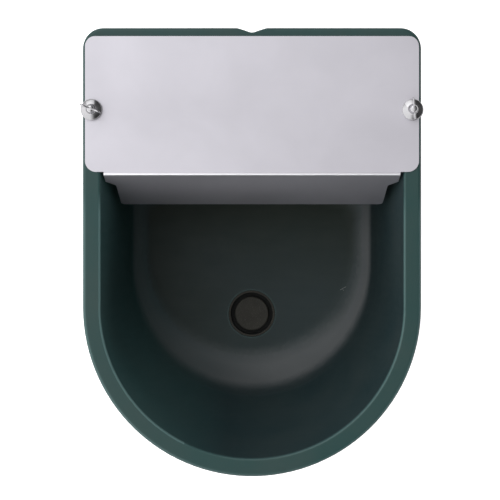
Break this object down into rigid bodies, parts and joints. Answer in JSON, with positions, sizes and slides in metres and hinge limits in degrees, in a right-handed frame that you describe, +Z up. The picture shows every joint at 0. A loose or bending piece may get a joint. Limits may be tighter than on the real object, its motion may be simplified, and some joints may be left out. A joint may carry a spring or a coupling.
{
  "type": "float valve animal drinker",
  "caption": "D-shaped plastic drinking bowl with a flat rim, a bent steel cover over the float valve, a wall plate and a drain plug.",
  "frame": {"origin": "centre of the bounding box, on the ground plane under the foot ring", "axes": "+Z up, -Y towards the animal, +Y towards the wall, +X to the right seen from the animal's side"},
  "size_m": [0.2652, 0.3484, 0.1867],
  "materials": {
    "bowl_plastic": "moulded, faint pebble grain",
    "cover_steel": "cold rolled 2B",
    "bright_steel": "polished",
    "plug_rubber": "moulded",
    "seal_rubber": "moulded",
    "fibre_washer": "pressed fibre",
    "valve_brass": "machined",
    "strainer_plastic": "moulded",
    "float_plastic": "blow moulded"
  },
  "bodies": {
    "bowl": {"bowl_body": "bowl_plastic", "cover_bolt_left": "bright_steel", "cover_bolt_right": "bright_steel", "valve_body": "valve_brass", "inlet_gasket": "seal_rubber", "backing_washer": "fibre_washer", "lock_nut": "valve_brass", "inlet_strainer": "strainer_plastic", "seat_nozzle": "strainer_plastic", "pivot_pin": "bright_steel", "split_pin": "bright_steel", "outlet_tube": "strainer_plastic"},
    "cover": {"valve_cover": "cover_steel"},
    "washer_left": {"washer_left": "bright_steel"},
    "wing_nut_left": {"wing_nut_left": "bright_steel"},
    "washer_right": {"washer_right": "bright_steel"},
    "wing_nut_right": {"wing_nut_right": "bright_steel"},
    "lever": {"float_lever": "valve_brass", "float_rod": "bright_steel", "float": "float_plastic", "float_nut": "valve_brass"},
    "plunger": {"plunger": "valve_brass", "plunger_seal": "seal_rubber"},
    "plug": {"drain_plug": "plug_rubber"}
  },
  "joints": [
    {"name": "cover_lift", "type": "slide", "parent": "bowl", "child": "cover", "axis": [0, 0, 1], "range_m": [0, 0.1]},
    {"name": "float_swing", "type": "hinge", "parent": "bowl", "child": "lever", "pos_m": [-0.046, 0.112, 0.126], "axis": [0, -1, 0], "range_deg": [0, 12]},
    {"name": "plunger_stroke", "type": "slide", "parent": "bowl", "child": "plunger", "axis": [-1, 0, 0], "range_m": [0, 0.00295]},
    {"name": "plug_pull", "type": "slide", "parent": "bowl", "child": "plug", "axis": [0, 0, 1], "range_m": [0, 0.18]},
    {"name": "washer_left_rise", "type": "slide", "parent": "cover", "child": "washer_left", "axis": [0, 0, 1], "range_m": [0, 0.008]},
    {"name": "wing_nut_left_turn", "type": "hinge", "parent": "washer_left", "child": "wing_nut_left", "pos_m": [-0.1242, 0.1102, 0.1747], "axis": [0, 0, 1], "range_deg": [0, 3620]},
    {"name": "washer_right_rise", "type": "slide", "parent": "cover", "child": "washer_right", "axis": [0, 0, 1], "range_m": [0, 0.008]},
    {"name": "wing_nut_right_turn", "type": "hinge", "parent": "washer_right", "child": "wing_nut_right", "pos_m": [0.1242, 0.1102, 0.1747], "axis": [0, 0, 1], "range_deg": [0, 3620]}
  ],
  "couplings": [
    {"joint": "plunger_stroke", "follows": "float_swing", "m_per_rad": 0.014},
    {"joint": "wing_nut_left_turn", "follows": "washer_left_rise", "rad_per_m": 7854},
    {"joint": "wing_nut_right_turn", "follows": "washer_right_rise", "rad_per_m": 7854}
  ]
}
